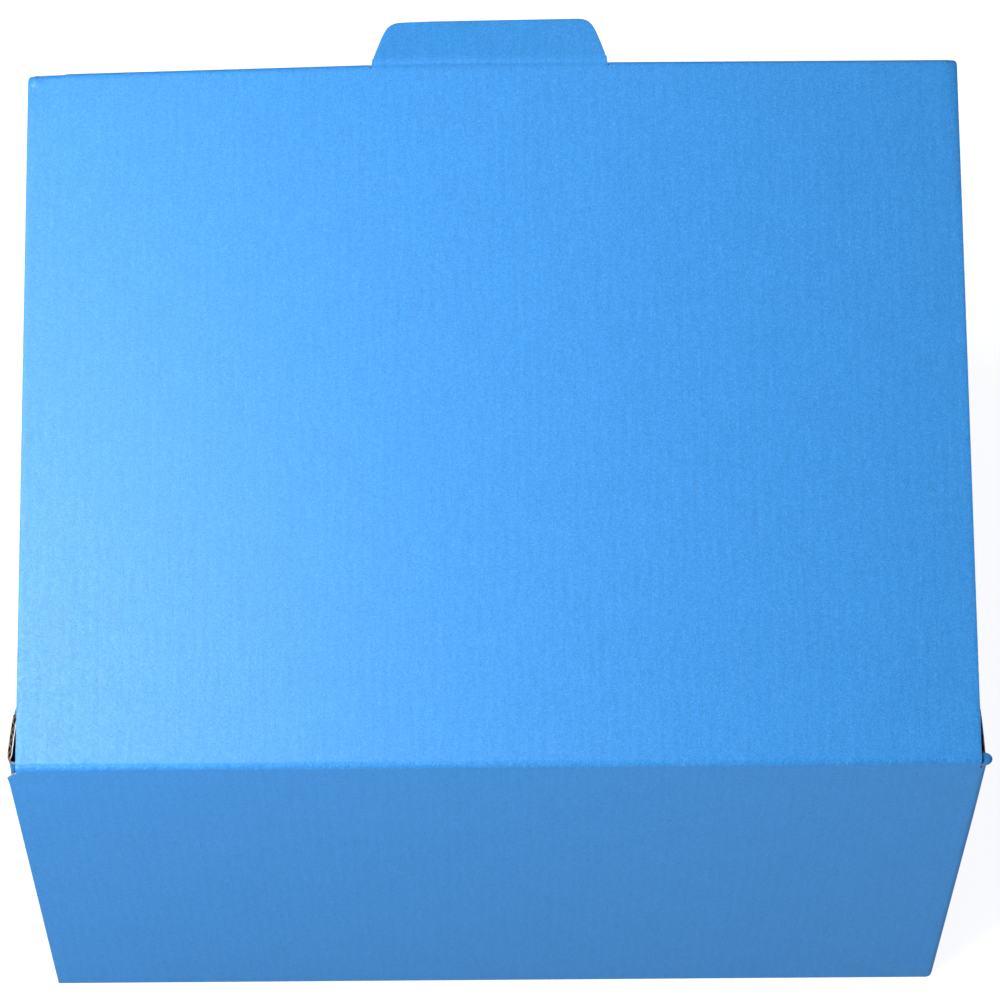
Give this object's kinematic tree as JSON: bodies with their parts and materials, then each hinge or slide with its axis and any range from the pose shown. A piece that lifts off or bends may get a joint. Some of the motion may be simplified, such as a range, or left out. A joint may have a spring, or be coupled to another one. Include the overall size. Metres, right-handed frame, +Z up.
{
  "type": "tuck-top carton",
  "caption": "Closed tuck-top carton of printed micro-flute board, with a hinged lid, pull tab, tuck flap, dust flaps and auto-lock bottom.",
  "frame": {"origin": "on the floor, under the centre of the carton's bounding box, pull tab included", "axes": "+Z up; +Y from the lid's hinge wall towards the pull tab; +X to the right as seen from the hinge wall"},
  "size_m": [0.2702, 0.2246, 0.222],
  "materials": {
    "printed_board": "matte blue printed liner over kraft fluting, dark grey inside",
    "dark_lined_board": "matte dark grey inner liner over kraft fluting"
  },
  "bodies": {
    "carton_tube": {"hinge_wall": "printed_board", "front_wall": "printed_board", "left_wall": "printed_board", "right_wall": "printed_board", "glue_flap": "dark_lined_board", "bottom_side_flap_left": "printed_board", "bottom_side_flap_right": "printed_board", "bottom_glue_corner_left": "printed_board", "bottom_glue_corner_right": "printed_board", "bottom_main_flap_rear": "dark_lined_board", "bottom_main_flap_front": "dark_lined_board"},
    "lid": {"lid_panel": "printed_board"},
    "tuck": {"tuck_flap": "printed_board"},
    "tab": {"pull_tab": "printed_board"},
    "left_dust": {"dust_flap_left": "printed_board"},
    "right_dust": {"dust_flap_right": "printed_board"}
  },
  "joints": [
    {"name": "lid_crease", "type": "hinge", "parent": "carton_tube", "child": "lid", "pos_m": [0, -0.1115, 0.2212], "axis": [1, 0, 0], "range_deg": [0, 175]},
    {"name": "tuck_crease", "type": "hinge", "parent": "lid", "child": "tuck", "pos_m": [0, 0.0969, 0.2212], "axis": [1, 0, 0], "range_deg": [0, 70]},
    {"name": "tab_crease", "type": "hinge", "parent": "lid", "child": "tab", "pos_m": [-0.0009, 0.0969, 0.2212], "axis": [1, 0, 0], "range_deg": [-20, 70]},
    {"name": "left_dust_crease", "type": "hinge", "parent": "carton_tube", "child": "left_dust", "pos_m": [-0.13105, -0.006, 0.2193], "axis": [0, -1, 0], "range_deg": [0, 70]},
    {"name": "right_dust_crease", "type": "hinge", "parent": "carton_tube", "child": "right_dust", "pos_m": [0.13105, -0.006, 0.2193], "axis": [0, 1, 0], "range_deg": [0, 70]}
  ],
  "couplings": [
    {"joint": "tuck_crease", "follows": "lid_crease", "ratio": 0.4},
    {"joint": "left_dust_crease", "follows": "lid_crease", "ratio": 0.4},
    {"joint": "right_dust_crease", "follows": "lid_crease", "ratio": 0.4}
  ]
}
